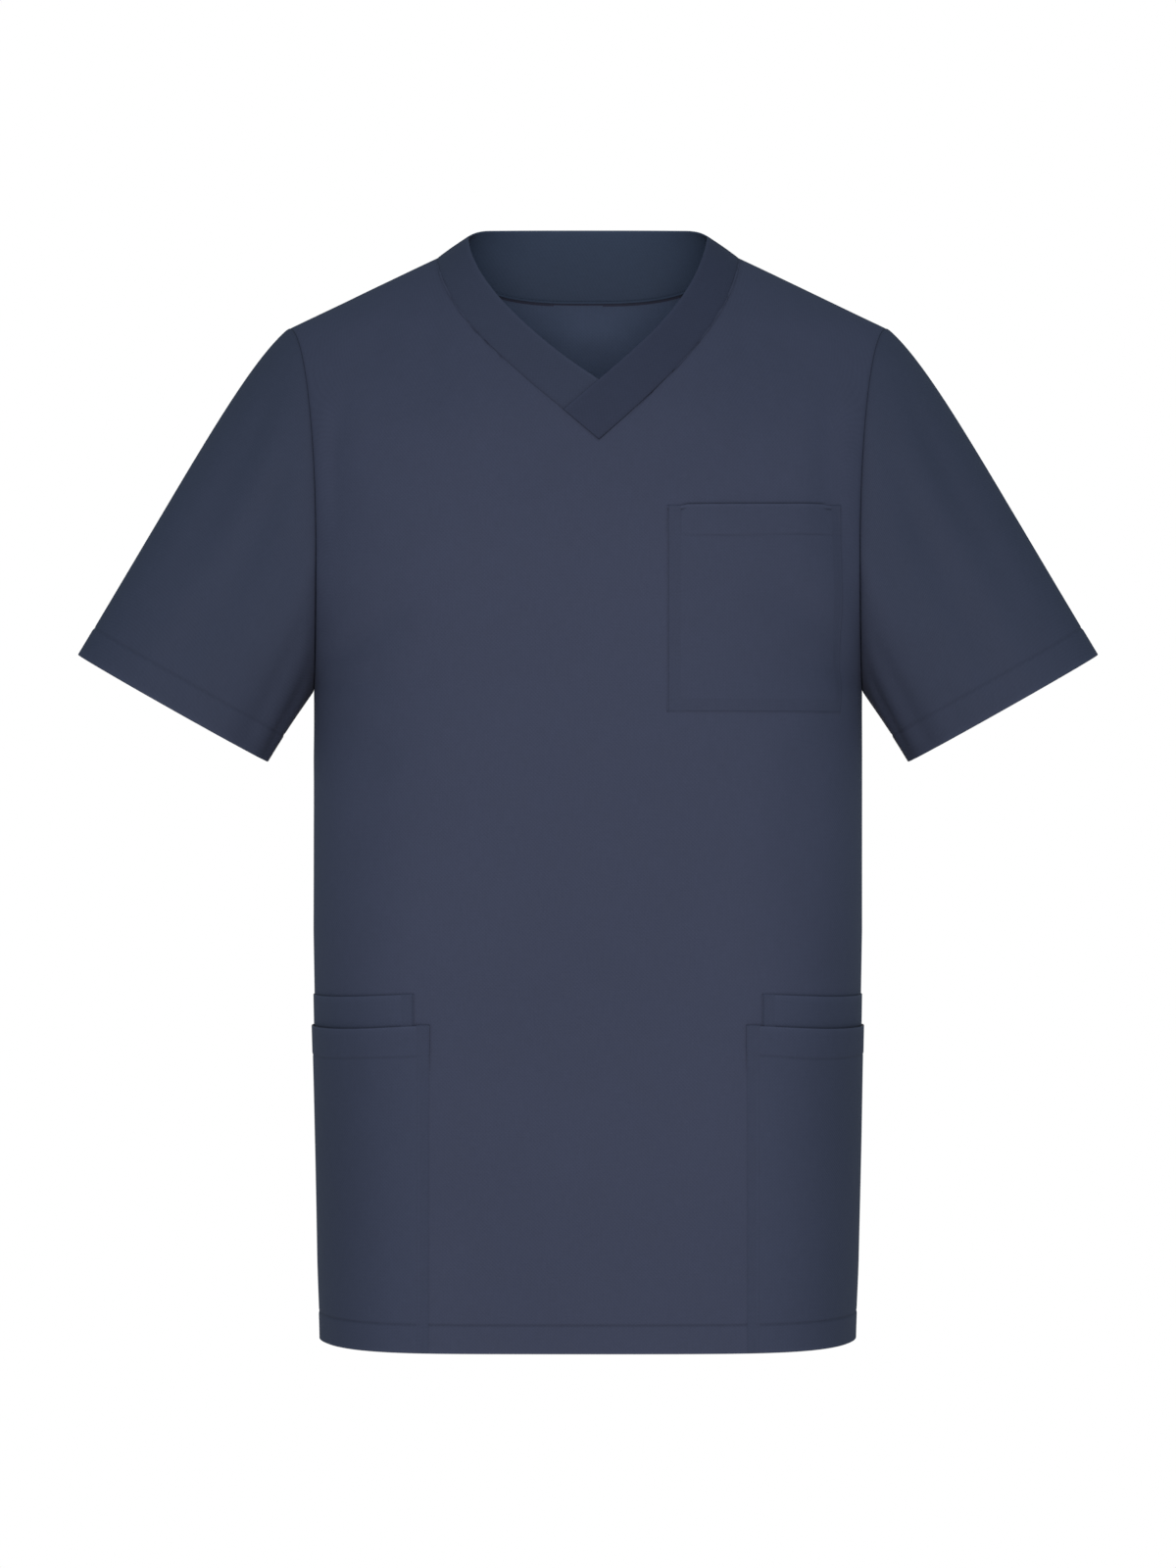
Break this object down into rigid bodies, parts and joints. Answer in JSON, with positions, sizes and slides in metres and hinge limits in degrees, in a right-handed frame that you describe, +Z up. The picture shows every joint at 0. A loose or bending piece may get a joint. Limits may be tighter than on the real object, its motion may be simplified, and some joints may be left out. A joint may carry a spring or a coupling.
{
  "type": "scrub top",
  "caption": "Short-sleeved V-neck scrub top in navy cloth, filled out as worn, with a crossed neckband, a breast pocket and layered lower pockets.",
  "frame": {"origin": "midway between the neck ends of the two shoulder seams, where the wearer's shoulders carry the garment", "axes": "+Z up the body; -Y out of the front; +X towards the wearer's left arm"},
  "size_m": [0.7274, 0.2509, 0.7975],
  "materials": {
    "cloth": "matt",
    "doubled_cloth": "matt"
  },
  "bodies": {
    "root": {"front": "cloth", "back": "cloth", "sleeve_left": "cloth", "sleeve_right": "cloth", "neckband_left": "doubled_cloth", "neckband_right": "doubled_cloth", "neckband_back": "doubled_cloth", "chest_pocket": "doubled_cloth", "pocket_left": "doubled_cloth", "pocket_right": "doubled_cloth", "inner_pocket_left": "doubled_cloth", "inner_pocket_right": "doubled_cloth"}
  },
  "joints": []
}
